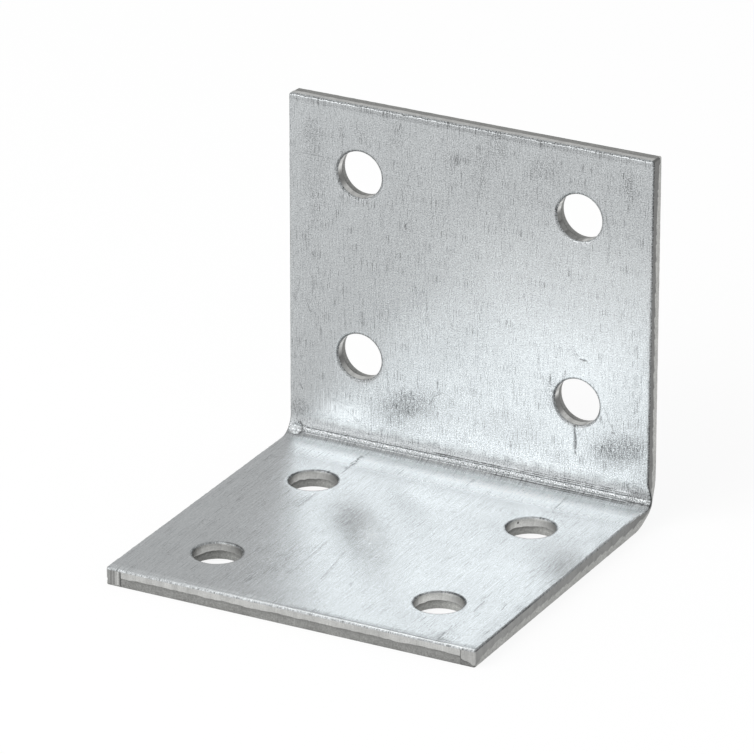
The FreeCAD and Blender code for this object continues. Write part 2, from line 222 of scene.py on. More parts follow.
def face_path(s, start, end, centre_y, centre_z, radius):
    """Places y and z on one face of the folded sheet, at distances s from the base leg's edge."""
    angle = np.clip((s - start) / (end - start), 0, 1) * QUARTER_TURN
    y = centre_y + radius * np.sin(angle) + np.minimum(s - start, 0)
    z = centre_z - radius * np.cos(angle) + np.maximum(s - end, 0)
    return y, z


def cloud_change(x, s, places, uneven=0.0):
    """Sum of the changes of tone that the places make, each strongest in its middle."""
    total = np.zeros(len(x))
    for middle_x, middle_s, radius_x, radius_s, turn, darkness in places:
        cos, sin = math.cos(math.radians(turn)), math.sin(math.radians(turn))
        gap_x, gap_s = x - middle_x, s - middle_s
        reach = np.hypot(
            (gap_x * cos - gap_s * sin) / radius_x, (gap_x * sin + gap_s * cos) / radius_s
        )
        total += darkness * smooth((1.1 + 0.3 * uneven - reach) / 0.8)
    return total


def cloud_and_shade_darkness(x, s):
    """Darkness of the zinc's clouds and of painted shade and reflection, with uneven borders."""
    uneven = 0.35 * wobble(x + 1.7 * s, 160, 130, 5) + 0.35 * wobble(1.3 * x - s, 160, 110, 6)
    return cloud_change(x, s, CLOUDS_AND_SHADE, uneven)


def stroke_gap(x, s, stroke):
    """Distance from places to a stroke's middle line."""
    start, end = np.array(stroke[0:2]), np.array(stroke[2:4])
    line = end - start
    share = (((x - start[0]) * line[0] + (s - start[1]) * line[1]) / (line @ line)).clip(0, 1)
    return np.hypot(x - start[0] - share * line[0], s - start[1] - share * line[1])


def coin_window(x):
    """Share of the coined line that is there, fading at its right end."""
    return smooth((x + COIN_END) / 0.25) * smooth((COIN_END - x) / 1.1)


def coin_shade_and_lines(x, s):
    """Painted shade along the coined line's two edges and round the lump's right side, and the
    darkness of the finer lines beside the coined line.
    """
    offset = s - FOLD_MIDDLE
    window = coin_window(x)
    uneven = 1 + 0.35 * wobble(x + HALF_WIDTH, 2 * HALF_WIDTH, 120, 8)
    dark = window * uneven * sum(
        strength * np.exp(-((offset - place) / width) ** 2) for place, width, strength in COIN_EDGE_SHADES
    )
    for place, start, end in FINE_LINES:
        span = smooth((x - start) / 0.8) * smooth((end - x) / 0.4)
        dark += 0.6 * uneven * span * np.exp(-((offset - place) / FINE_LINE_WIDTH) ** 2)
    reach = np.hypot(x - LUMP[0], s - LUMP[1]) / LUMP_RADIUS
    # Painted shade in a ring round the lump, on its right side only.
    return dark + 0.5 * np.exp(-((reach - 1.15) / 0.12) ** 2) * smooth((x - LUMP[0] + 0.2) / 0.4)


def strokes_and_shade(x, s):
    """Darkness of the scratches and lines, with the painted shade along the coined line and round
    the lump, and the depth of the scratches.
    """
    dark, depth = coin_shade_and_lines(x, s), np.zeros(len(x))
    for stroke in STROKES:
        width, strength = stroke[4:6]
        share = (1 - stroke_gap(x, s, stroke) / width).clip(0, 1)
        dark = np.maximum(dark, strength * share)
        depth = np.maximum(depth, 0.10 * width * strength * share)
    return dark, depth


def stroke_points():
    """Places for the mesh's points along the scratches: on their middle lines and at both sides."""
    places = []
    for index, stroke in enumerate(STROKES):
        start, end = np.array(stroke[0:2]), np.array(stroke[2:4])
        line = end - start
        length = np.hypot(*line)
        across = np.array((-line[1], line[0])) / length * stroke[4]
        steps = np.linspace(0, 1, max(2, round(length / 0.22)))
        bow = 0.05 * wobble(steps * length, 60, 90, 200 + index)[:, None] * across / stroke[4]
        middle = start + steps[:, None] * line + bow * (length > 1)
        places += [middle, middle + across, middle - across, [start - line / length * stroke[4]],
                   [end + line / length * stroke[4]]]
    return np.concatenate(places)


def coined_depth(x, s):
    """Depth of the line that the press tool coined along the fold."""
    offset = s - FOLD_MIDDLE
    across, depths = zip(*COIN_PROFILE)
    window = coin_window(x)
    wear = 1 + 0.25 * wobble(x + HALF_WIDTH, 2 * HALF_WIDTH, 90, 3)
    return np.interp(offset, across, depths) * window * wear


def lump_height(x, s):
    """Height of the lump that the press tool raised at the left end of the fold."""
    reach = np.hypot(x - LUMP[0], s - LUMP[1]) / LUMP_RADIUS
    outline = 0.05 * np.exp(-((reach - 1.12) / 0.1) ** 2) * (x > LUMP[0] - 0.2)
    return LUMP_HEIGHT * (1 - reach ** 3).clip(0, 1) - outline


def fold(flat):
    """Places in the frame, in metres, of points given on the flat strip as x, s and depth."""
    x, s, depth = flat.T
    near_face = np.clip(1 - depth / RELIEF_DEPTH, 0, 1)
    relief = coined_depth(x, s) + strokes_and_shade(x, s)[1] - lump_height(x, s)
    depth = depth + near_face * relief
    inner_y, inner_z = face_path(s, BASE_FLAT, FOLD_END, FOLD_CENTRE_Y, FOLD_CENTRE_Z, INNER_RADIUS)
    outer_y, outer_z = face_path(
        s, OUTER_START, OUTER_END, HIGH.y - OUTER_RADIUS, OUTER_RADIUS, OUTER_RADIUS
    )
    share = depth / SHEET
    y = inner_y + (outer_y - inner_y) * share
    z = inner_z + (outer_z - inner_z) * share
    slant = INNER_RADIUS * math.sqrt(0.5)
    reach = np.hypot(y - FOLD_CENTRE_Y - slant, z - FOLD_CENTRE_Z + slant) / SWELL_REACH
    bell = 0.5 + 0.5 * np.cos(math.pi * reach.clip(0, 1))
    x = x + SWELL_HEIGHT * bell * smooth((x - HALF_WIDTH + SWELL_DEPTH) / SWELL_DEPTH)
    return np.column_stack((x, y, z)) * MM


def spaced(half, step, fine=None):
    """Places from -half to half, one every step, and closer together beyond fine at both ends."""
    parts = [np.linspace(-half, half, int(2 * half / step) + 1)]
    if fine:
        close = np.linspace(fine, half, round((half - fine) / 0.05))
        parts += [close, -close]
    return np.unique(np.round(np.concatenate(parts), 3))


class Outline:
    """The strip's outline as columns, anticlockwise from the front left corner."""

    STEP = 0.2
    CORNER_STEPS = 5

    def __init__(self):
        halves = (HALF_WIDTH - CORNER_RADIUS, LENGTH / 2 - CORNER_RADIUS)
        zone = HALF_WIDTH - END_ZONE
        rows = []
        for side in (FRONT, RIGHT, TOP, LEFT):
            half = halves[side % 2]
            fine = zone - 0.15 if side == FRONT else None
            normal = QUARTER_TURN * (side - 1)
            out = np.array((math.cos(normal), math.sin(normal)))
            travel = np.array((-out[1], out[0]))
            for place in spaced(half, self.STEP, fine):
                rows.append((*(travel * place / half + out), *out, side))
            for step in range(1, self.CORNER_STEPS):
                angle = normal + QUARTER_TURN * step / self.CORNER_STEPS
                rows.append((*(travel + out), math.cos(angle), math.sin(angle), side))
        table = np.array(rows)
        self.unit = table[:, 0:2]
        self.out = table[:, 2:4]
        self.side = table[:, 4].astype(int)
        self.count = len(table)
        ring = self.ring(0)
        steps = np.hypot(*(np.roll(ring, -1, axis=0) - ring).T)
        self.along = np.concatenate(([0], np.cumsum(steps)[:-1]))
        self.total = steps.sum()
        self.x, self.s = ring.T
        self.from_line = np.abs(self.x) - zone

    def ring(self, inset):
        """The outline set in by inset, one number or one per column."""
        inset = np.broadcast_to(inset, self.count)[:, None]
        corner = np.maximum(CORNER_RADIUS - inset, 0.01)
        halves = np.array((HALF_WIDTH, LENGTH / 2)) - inset - corner
        return self.unit * halves + self.out * corner + (0, LENGTH / 2)

    def noise(self, step, seed):
        """Smooth noise round the outline, with a knot at about every step."""
        return wobble(self.along, self.total, int(self.total / step), seed)


class Mesh:
    """Points on the flat strip with their places along an edge and their painted light and shade,
    and the faces between them with their kind of finish.
    """

    ZINC, BURNISHED, TORN = range(3)

    def __init__(self):
        self.points, self.edges, self.tones, self.roll_shading = [], [], [], []
        self.faces, self.kinds = [], []
        self.size = 0

    def add(self, flat, edge=None, tone=None, roll=None):
        """Adds points, with the place of an edge, its painted brightness and the painted shade and
        highlight of its rolled-over part, and returns their numbers.
        """
        count = len(flat)
        self.points.append(flat)
        self.edges.append(np.zeros((count, 3)) if edge is None else edge)
        self.tones.append(np.ones((count, 3)) if tone is None else tone)
        self.roll_shading.append(np.zeros((count, 3)) if roll is None else roll)
        self.size += count
        return np.arange(self.size - count, self.size)

    def face(self, numbers, kind):
        self.faces += [tuple(int(n) for n in row) for row in numbers]
        self.kinds += [kind] * len(numbers)

    def walls(self, loops, levels, facing_in=False):
        """Closed bands of faces from each loop to the next. Returns the first and the last loop."""
        for upper, lower, (_, _, kind) in zip(loops, loops[1:], levels[1:]):
            quads = np.column_stack((upper, lower, np.roll(lower, -1), np.roll(upper, -1)))
            self.face(quads[:, ::-1] if facing_in else quads, kind)
        return loops[0], loops[-1]

    def build(self, name):
        """Folds the flat points, joins those that coincide, and makes the Blender object."""
        flat = np.concatenate(self.points)
        _, first, where = np.unique(
            np.round(flat, 4), axis=0, return_index=True, return_inverse=True
        )
        where = where.reshape(-1)
        faces, kinds = [], []
        for numbers, kind in zip(self.faces, self.kinds):
            loop = [int(where[n]) for n in numbers]
            if len(set(loop)) == len(loop):
                faces.append(loop)
                kinds.append(kind)
        data = bpy.data.meshes.new(name)
        data.from_pydata(fold(flat[first]).tolist(), [], faces)
        data.polygons.foreach_set("material_index", np.array(kinds, np.int32))
        x, s, depth = flat.T
        # The marks hold the zinc's clouds with painted shade and reflection, the scratches and
        # lines with the painted shade along the coined line, and the painted light and shade over
        # the inner face; the tone attribute holds the painted brightness of edges and holes, the
        # roll attribute the painted shade and highlight of the rolled-over parts.
        marks_and_shading = np.column_stack((
            cloud_and_shade_darkness(x, s), strokes_and_shade(x, s)[0], cloud_change(x, s, PAINTED_LIGHT)
        ))
        attributes = {
            "strip": flat,
            "edge": np.concatenate(self.edges),
            "tone": np.concatenate(self.tones),
            "roll": np.concatenate(self.roll_shading),
            "marks_and_shading": marks_and_shading * (depth < RELIEF_DEPTH)[:, None],
        }
        for label, values in attributes.items():
            attribute = data.attributes.new(label, "FLOAT_VECTOR", "POINT")
            attribute.data.foreach_set("vector", values[first].astype(np.float32).ravel())
        data.shade_smooth()
        data.set_sharp_from_angle(angle=math.radians(38))
        data.validate()
        made = bpy.data.objects.new(name, data)
        bpy.context.collection.objects.link(made)
        return made


def hole_centres():
    """Places x and s of the eight punched holes, from the two mounts."""
    centres = []
    legs = (("base_holes", 1, LOW.y), ("upright_holes", 2, FOLD_CENTRE_Z - FOLD_END))
    for name, axis, level in legs:
        mount = MOUNTS[name]
        x, s = mount["pos_m"][0] / MM, mount["pos_m"][axis] / MM - level
        half_x, half_s = mount["dims"]["spacing_x_mm"] / 2, mount["dims"]["spacing_y_mm"] / 2
        centres += [(x + i * half_x, s + j * half_s) for i in (-1, 1) for j in (-1, 1)]
    return centres


def flat_mesh(mesh, outline_ring, hole_rings, extra, depth, reversed_faces):
    """One face of the sheet: triangles between its outline and holes, with the extra points."""
    loops = [outline_ring] + hole_rings
    fixed = np.concatenate(mesh.points)[np.concatenate(loops), :2]
    added = mesh.add(np.column_stack((extra, np.full(len(extra), depth))))
    numbers = np.concatenate((*loops, added))
    places = np.concatenate((fixed, extra))
    edges, start = [], 0
    for loop in loops:
        count = len(loop)
        edges += [(start + i, start + (i + 1) % count) for i in range(count)]
        start += count
    made = delaunay_2d_cdt([Vector(p) for p in places], edges, [], 0, 1e-6)
    source = [ids[0] for ids in made[3]]
    triangles = np.array([[source[i] for i in face] for face in made[2]])
    sizes = [len(loop) for loop in loops] + [len(extra)]
    owner = np.repeat(range(len(sizes)), sizes)[triangles]
    in_hole = (owner[:, 0] == owner[:, 1]) & (owner[:, 1] == owner[:, 2])
    in_hole &= (owner[:, 0] > 0) & (owner[:, 0] <= len(hole_rings))
    triangles = triangles[~in_hole]
    side = np.cross(places[triangles[:, 1]] - places[triangles[:, 0]],
                    places[triangles[:, 2]] - places[triangles[:, 0]])
    triangles[side < 0] = triangles[side < 0][:, ::-1]
    if reversed_faces:
        triangles = triangles[:, ::-1]
    mesh.face(numbers[triangles], Mesh.ZINC)


def away_from(places, centres, radius):
    """Only the places further than radius from every centre."""
    for centre in centres:
        places = places[np.hypot(*(places - centre).T) > radius]
    return places


def grid(xs, ss):
    """Places at every x and s."""
    return np.array(np.meshgrid(xs, ss)).reshape(2, -1).T


def across_strip(count):
    """Places x across the strip."""
    return np.linspace(SIDE_MARGIN - HALF_WIDTH, HALF_WIDTH - SIDE_MARGIN, count)


def with_zero(first, second):
    """Two numbers for each point, and a zero, because the points' attributes hold three."""
    return np.column_stack((first, second, np.zeros(len(first))))


def end_zones(outline):
    """Which columns are in the left and in the right end zone of the front edge."""
    at_front = outline.side == FRONT
    left = at_front & (outline.x < END_ZONE - HALF_WIDTH)
    right = at_front & (outline.x > HALF_WIDTH - END_ZONE)
    return left, right


def edge_lip(outline):
    """Depth of the wavy lip between the burnished and the torn part of the sheared edge."""
    side, s, x = outline.side, outline.s, outline.x
    left_zone, right_zone = end_zones(outline)
    right_ratio = np.interp(s, (0, 32, 46, 68, 74), (0.58, 0.58, 0.50, 0.50, 0.74))
    ratios = np.choose(side, (0.47, right_ratio, 0.44, 0.6))
    saw = 0.5 - np.mod(outline.along / 1.7 + 0.45 * outline.noise(1.6, 11), 1)
    jag = np.choose(side, (0.15, 1.0, 0.2, 0.8)) * 0.26 * saw
    waves = 0.06 * outline.noise(1.9, 12) + 0.03 * outline.noise(0.5, 13)
    lip = np.where(left_zone, SHEET - 0.16, ratios * SHEET + jag + waves)
    share = np.clip((x - HALF_WIDTH + END_ZONE) / END_ZONE, 0, 1)
    curve = 0.55 * np.sqrt(share) + 0.12 * np.sin(9 * share) * share
    lip = np.where(right_zone, 1.02 + curve + 0.5 * waves, lip)
    corner = smooth(1 - s / 2.1) * (side == RIGHT)
    return lip + (SHEET - 0.2 - lip) * corner


def edge_tones(outline):
    """Painted brightness of the burnished and the torn part, lighter or darker on each side as the
    light falls on it, with the real striations of the left end zone, and painted shade and
    highlight on the rolled-over part.
    """
    side, s, x = outline.side, outline.s, outline.x
    left_zone, right_zone = end_zones(outline)
    up = smooth((s - OUTER_START) / (OUTER_END - OUTER_START))
    stripes = np.interp(
        x + HALF_WIDTH, (0, 0.15, 0.3, 0.42, 0.55, 0.8, 0.95, 1.1, 1.25, 1.42, 1.55, 1.62),
        (0.62, 0.70, 0.5, 0.68, 0.45, 0.62, 0.42, 0.70, 0.95, 0.85, 0.3, 0.3),
    )
    stripes = stripes * (1 + 0.25 * outline.noise(0.12, 16))
    right_burnish = np.interp(s, (0, 15, 32, 46), (0.48, 0.44, 0.38, 0.27))
    burnish = np.choose(side, (0.94, right_burnish, 0.98, 0.6))
    burnish = burnish * (1 + 0.10 * outline.noise(0.5, 17))
    at_line = outline.from_line < 0.1
    right_tone = np.where(at_line, 0.4, 0.74 + 0.1 * outline.noise(0.2, 18))
    burnish = np.where(left_zone, stripes, np.where(right_zone, right_tone, burnish))
    torn = np.choose(side, (0.57, 1.10 + 0.10 * up, 0.66, 0.9))
    torn = np.where(right_zone, 0.42, torn)
    # Painted shade and highlight on the rolled-over part: below zero lightens it, above zero
    # darkens it.
    front_roll_light = np.interp(x, (-16, -10, -4, 2, 20), (-0.12, -0.4, -0.52, -0.72, -0.95))
    early = np.choose(side, (front_roll_light, 0.05 + 0.2 * up, 0.55, 0.25))
    late = np.choose(side, (0.38, 0.45 + 0.2 * up, 0.12, 0.25))
    return with_zero(burnish, torn), with_zero(early, late)


def perimeter(mesh, outline):
    """The sheared edge all round: rolled over above, burnished, then torn down to the burr."""
    side, x = outline.side, outline.x
    lip = edge_lip(outline)
    groove = 0.06 * np.exp(-(outline.from_line / 0.055) ** 2) * (side == FRONT)
    striation = (0.018 + 0.018 * outline.noise(0.12, 14)) * np.logical_or(*end_zones(outline))
    body, below = groove + striation, groove * (x < 0) + striation
    calm = np.where(side == FRONT, np.interp(x, (-12, 4), (0.9, 0.45)), 1.0)
    roll_noise = 1 + calm * (0.28 * outline.noise(0.45, 15) + 0.22 * outline.noise(0.22, 19))
    crisp = np.choose(side, (1.0, 0.35, 0.5, 0.4))
    levels = [(inset if level == 0 else inset * roll_noise * crisp, level, Mesh.ZINC)
              for inset, level in EDGE_ROLL]
    levels += [(body, ROLL_END + (lip - ROLL_END) * share, Mesh.BURNISHED)
               for share in (0.12, 0.5, 0.9, 1.0)]
    rest = SHEET - 0.1 - lip
    slope = 0.07 * (side == TOP)
    for index, (share, extra) in enumerate(((0.06, 0.035), (0.3, 0.045), (0.6, 0.03), (1.0, 0.02))):
        rough = 0.012 * outline.noise(0.22, 20 + index) + 0.008 * outline.noise(0.9, 30 + index)
        levels.append((below + extra + slope * share + rough, lip + rest * share, Mesh.TORN))
    burr = 0.012 * outline.noise(0.5, 40)
    levels.append((below + 0.035 + slope + burr, SHEET - 0.03, Mesh.TORN))
    levels.append((0.08 + slope, SHEET, Mesh.TORN))
    tone, roll = edge_tones(outline)
    rings = []
    for inset, level, _ in levels:
        level = np.broadcast_to(level, outline.count)
        flat = np.column_stack((outline.ring(inset), level))
        edge = np.column_stack((outline.along, level, side))
        rings.append(mesh.add(flat, edge, tone, roll))
    return mesh.walls(rings, levels)


def upright_hole_tones(centre, degrees, noise):
    """Brightness of the burnished and the torn part of a hole in the upright leg, painted light and
    shade that change round the wall.
    """
    burnish = np.interp(
        degrees, (0, 120, 160, 176, 186, 196, 206, 216, 226, 260, 290, 320, 360),
        (0.8, 0.95, 1.35, 1.25, 0.5, 0.34, 0.38, 0.6, 1.15, 1.0, 0.95, 0.9, 0.8),
    )
    burnish = burnish * (1 + 0.25 * noise(50, 9))
    if centre[0] > 0 and centre[1] > TOP_ROW_START:
        burnish *= np.interp(degrees, (0, 150, 176, 214, 224, 255, 285, 360),
                             (1.0, 0.8, 0.7, 1.0, 0.42, 0.5, 0.95, 1.0))
        burnish *= 1 + 0.35 * noise(80, 10)
    return burnish, np.full(len(degrees), 0.78)


def base_hole_tones(centre, degrees):
    """Brightness of the burnished and the torn part of a hole in the base leg, painted light and
    shade that change round the wall.
    """
    share = BASE_HOLE_SHADING[centre[1] > FRONT_ROW_END][centre[0] > 0]
    burnish = share * np.interp(degrees, (0, 28, 48, 88, 118, 148, 168, 185, 210, 360),
                                (0.4, 0.45, 0.62, 0.87, 1.12, 1.25, 1.0, 0.6, 0.42, 0.4))
    torn = share * np.interp(degrees, (0, 30, 70, 88, 118, 148, 175, 200, 360),
                             (0.5, 0.75, 1.05, 1.05, 0.92, 0.82, 0.65, 0.5, 0.5))
    return burnish, torn


def punched_hole(mesh, centre, seed):
    """One punched hole: rolled rim, burnished wall, wavy lip and the torn part below it, with
    painted light and shade on rim and wall.
    """
    count = 96
    angle = np.arange(count) / count * FULL_TURN
    degrees = np.degrees(angle)

    def noise(knots, number):
        return wobble(angle, FULL_TURN, knots, seed + number)

    wave = 0.07 * noise(9, 0) + 0.03 * noise(31, 1)
    # The early and late numbers are painted shade on the rolled rim, which dims its highlight; in
    # the base leg they change round the rim and leave the highlight on one side.
    if centre[1] > FOLD_MIDDLE:
        burnish, torn = upright_hole_tones(centre, degrees, noise)
        early = np.full(count, 0.42 if centre[1] > TOP_ROW_START else 0.4)
        uneven, late = 0.07, 0.5
    else:
        burnish, torn = base_hole_tones(centre, degrees)
        early = np.interp(degrees, (0, 60, 90, 112, 150, 175, 360),
                          (0.5, 0.65, 0.6, 0.2, 0.15, 0.45, 0.5))
        uneven, late = 0.2, 0.9
        wave = wave + 0.035 * noise(31, 3) + 0.03 * noise(64, 4)
    lip = BURNISH_DEPTH + wave
    early = early + uneven * noise(70, 8)
    rim = 1 + uneven * noise(40, 2)
    levels = [(0.6, 0, Mesh.ZINC), (0.4, 0.003, Mesh.ZINC), (0.25, 0.012, Mesh.ZINC)]
    levels += [(out * rim, level, Mesh.ZINC)
               for out, level in ((0.15, 0.027), (0.085, 0.05), (0.035, 0.09))]
    levels += [(0, RIM_END, Mesh.ZINC)]
    levels += [(0, RIM_END + (lip - RIM_END) * share, Mesh.BURNISHED) for share in (0.4, 0.85, 1.0)]
    for share, out in ((0.05, 0.03), (0.45, 0.075), (0.85, 0.11), (1.0, 0.15)):
        rough = 0.012 * noise(60, 5 + int(10 * share)) * (share < 1)
        levels.append((out + rough, lip + (SHEET - lip) * share, Mesh.TORN))
    loops = []
    for out, level, _ in levels:
        radius = HOLE_RADIUS + np.broadcast_to(out, count)
        level = np.broadcast_to(level, count)
        flat = np.column_stack((
            centre[0] + radius * np.cos(angle), centre[1] + radius * np.sin(angle), level
        ))
        edge = np.column_stack((angle * HOLE_RADIUS, level, np.full(count, HOLE_EDGE)))
        # Painted shade in a thin band of the torn part just below the lip.
        shade_under_lip = 1 - 0.35 * ((level > lip) & (level < lip + 0.08 * SHEET))
        tone, roll = with_zero(burnish, torn * shade_under_lip), with_zero(early, early * late)
        loops.append(mesh.add(flat, edge, tone, roll))
    return mesh.walls(loops, levels, facing_in=True)


def inner_points(centres):
    """Places on the inner face: a grid, closer in the fold, round the lump and at the scratches."""
    legs = np.concatenate((
        np.linspace(END_MARGIN, FOLD_MIDDLE - 1.9, 58),
        np.linspace(FOLD_MIDDLE + 1.9, LENGTH - END_MARGIN, 58),
    ))
    legs_grid = away_from(grid(across_strip(67), legs), centres, HOLE_RADIUS + 0.85)
    fold_rows = FOLD_MIDDLE + np.unique(np.round(np.concatenate((
        np.linspace(-1.6, 1.6, 17), np.linspace(-0.68, 0.88, 40), [0.38, 0.42, -0.06, -0.14]
    )), 4))
    lump_reach = LUMP_RADIUS * 1.5
    fold_grid = away_from(grid(across_strip(171), fold_rows), [LUMP], lump_reach + 0.05)
    close = np.linspace(-lump_reach, lump_reach, 17)
    lump = grid(LUMP[0] + close, LUMP[1] + close)
    lump = lump[np.hypot(*(lump - LUMP).T) < lump_reach]
    lump = lump[lump[:, 0] > -HALF_WIDTH + 0.62]
    places = np.concatenate((legs_grid, fold_grid, lump))
    clear = [stroke_gap(*places.T, stroke) > stroke[4] + 0.08 for stroke in STROKES]
    scratches = away_from(stroke_points(), centres, HOLE_RADIUS + 0.7)
    inside = (np.abs(scratches[:, 0]) < HALF_WIDTH - 0.6) & (scratches[:, 1] < LENGTH - 0.6)
    return np.concatenate((places[np.all(clear, axis=0)], scratches[inside]))


def outer_points(centres):
    """Places on the outer face: a plain grid with closer rows in the bend."""
    rows = np.concatenate((
        np.linspace(END_MARGIN, OUTER_START - 1.2, 34),
        np.linspace(OUTER_END + 1.2, LENGTH - END_MARGIN, 34),
        np.linspace(OUTER_START - 0.5, OUTER_END + 0.5, 34),
    ))
    return away_from(grid(across_strip(50), rows), centres, HOLE_RADIUS + 0.7)


def sheet_piece():
    """The whole folded sheet as one closed mesh."""
    mesh = Mesh()
    upper, lower = perimeter(mesh, Outline())
    centres = hole_centres()
    holes = [punched_hole(mesh, centre, 100 + 20 * i) for i, centre in enumerate(centres)]
    flat_mesh(mesh, upper, [hole[0] for hole in holes], inner_points(centres), 0, False)
    flat_mesh(mesh, lower, [hole[1] for hole in holes], outer_points(centres), SHEET, True)
    return mesh.build("angle_bracket_sheet")


class Nodes:
    """Short calls that add shader nodes to a tree."""

    def __init__(self, tree):
        self.tree = tree

    def add(self, kind, inputs=None, **settings):
        made = self.tree.nodes.new(kind)
        for name, value in settings.items():
            setattr(made, name, value)
        for key, value in (inputs or {}).items():
            if isinstance(value, bpy.types.NodeSocket):
                self.tree.links.new(value, made.inputs[key])
            else:
                made.inputs[key].default_value = value
        return made

    def math(self, operation, *values):
        return self.add("ShaderNodeMath", dict(enumerate(values)), operation=operation).outputs[0]

    def vector(self, operation, *values, output="Vector"):
        made = self.add("ShaderNodeVectorMath", dict(enumerate(values)), operation=operation)
        return made.outputs[output]

    def attribute(self, name):
        return self.add("ShaderNodeAttribute", attribute_name=name).outputs["Vector"]

    def join(self, x, y):
        return self.add("ShaderNodeCombineXYZ", {0: x, 1: y}).outputs[0]

    def split(self, vector):
        return self.add("ShaderNodeSeparateXYZ", {0: vector}).outputs

    def noise(self, place, across, along, detail=2.0, rough=0.5):
        """Noise from about -0.5 to 0.5, with its scales per millimetre across and along."""
        scaled = self.vector("MULTIPLY", place, (across, along, 1.0))
        made = self.add("ShaderNodeTexNoise", {
            "Vector": scaled, "Scale": 1.0, "Detail": detail, "Roughness": rough,
        })
        return self.math("SUBTRACT", made.outputs[0], 0.5)

    def ramp(self, value, start, end, low=0.0, high=1.0):
        """A smooth change from low, where the value is start, to high, where it is end."""
        made = self.add("ShaderNodeMapRange", {0: value, 1: start, 2: end, 3: low, 4: high},
                        interpolation_type="SMOOTHSTEP")
        return made.outputs[0]

    def chain(self, operation, values):
        result = values[0]
        for value in values[1:]:
            result = self.math(operation, result, value)
        return result

    def total(self, *values):
        return self.chain("ADD", values)

    def product(self, *values):
        return self.chain("MULTIPLY", values)

    def weighted(self, *pairs):
        """The sum of values, each times its weight."""
        return self.total(*(self.product(value, weight) for value, weight in pairs))

    def tinted(self, colour, factor):
        """A colour times a factor."""
        made = self.add("ShaderNodeVectorMath", {0: colour, "Scale": factor}, operation="SCALE")
        return made.outputs["Vector"]


def new_material(name):
    material = bpy.data.materials.new(name)
    material.use_nodes = True
    material.node_tree.nodes.clear()
    return material, Nodes(material.node_tree)


def finish_material(n, colour, roughness, height, relief, metallic):
    """The metal shader with its bump, joined to the material's output."""
    bump = n.add("ShaderNodeBump", {"Height": height, "Distance": relief, "Strength": 1.0})
    shader = n.add("ShaderNodeBsdfPrincipled", {
        "Base Color": colour, "Roughness": roughness, "Normal": bump.outputs[0],
        "Metallic": metallic,
    })
    n.add("ShaderNodeOutputMaterial", {0: shader.outputs[0]})


def fold_masks(n, x, s, place):
    """Where the parts of the fold are, from 0 to 1, and the distance from the coined line, with the
    places where shade and light are painted beside the coined line, past its right end and on the
    base before the fold.
    """
    from_coin = n.math("ABSOLUTE", n.math("SUBTRACT", s, COIN_MIDDLE))
    from_lump = n.vector("DISTANCE", place, (*LUMP, 0.0), output="Value")
    ragged = n.total(s, n.product(n.noise(place, 1.1, 0.7, 3.0), 0.9))
    slanted = n.total(x, n.product(s, 0.53))
    faint_shade = n.product(
        n.ramp(s, FOLD_MIDDLE - 0.9, FOLD_MIDDLE - 0.55), n.ramp(x, -8.0, 9.0, 0.2, 0.03)
    )
    lower_shade = n.product(
        n.ramp(s, FOLD_MIDDLE - 0.42, FOLD_MIDDLE - 0.3), n.ramp(x, -8.0, 9.0, 0.15, 0.35)
    )
    return {
        "from_coin": from_coin,
        "fold": n.product(
            n.ramp(s, FOLD_MIDDLE - 0.2, FOLD_MIDDLE),
            n.ramp(ragged, FOLD_END + 1.6, FOLD_END - 0.2),
        ),
        "lump": n.ramp(from_lump, LUMP_RADIUS * 1.3, LUMP_RADIUS * 0.8),
        "coin": n.product(n.ramp(from_coin, 0.22, 0.17), n.ramp(x, COIN_END, COIN_END - 1.1)),
        "light_over_coin": n.product(
            n.ramp(s, COIN_MIDDLE + 0.26, COIN_MIDDLE + 0.32),
            n.ramp(s, COIN_MIDDLE + 0.75, COIN_MIDDLE + 0.5),
            n.ramp(x, -3.0, 7.0),
        ),
        # Above the coined line the zinc is crushed and rougher, and painted shade darkens it as
        # well.
        "above_coin": n.product(
            n.ramp(s, COIN_MIDDLE + 0.19, COIN_MIDDLE + 0.24),
            n.ramp(ragged, FOLD_END + 0.7, FOLD_END - 0.6),
        ),
        "shade_under_coin": n.product(
            n.total(faint_shade, lower_shade),
            n.ramp(s, FOLD_MIDDLE - 0.04, FOLD_MIDDLE - 0.16),
        ),
        "shade_past_coin": n.product(
            n.ramp(s, FOLD_MIDDLE - 0.30, FOLD_MIDDLE - 0.12),
            n.ramp(s, FOLD_MIDDLE + 1.2, FOLD_MIDDLE + 0.6, 0.25, 1.0),
            n.ramp(s, FOLD_MIDDLE + 4.0, FOLD_MIDDLE + 2.4),
            n.ramp(x, COIN_END - 1.1, COIN_END - 0.2),
        ),
        "reflection_before_fold": n.product(
            n.ramp(s, BASE_FLAT - 4.0, BASE_FLAT - 1.2),
            n.ramp(s, BASE_FLAT + 0.75, BASE_FLAT - 0.1),
            n.ramp(slanted, -0.7, 0.7),
        ),
    }


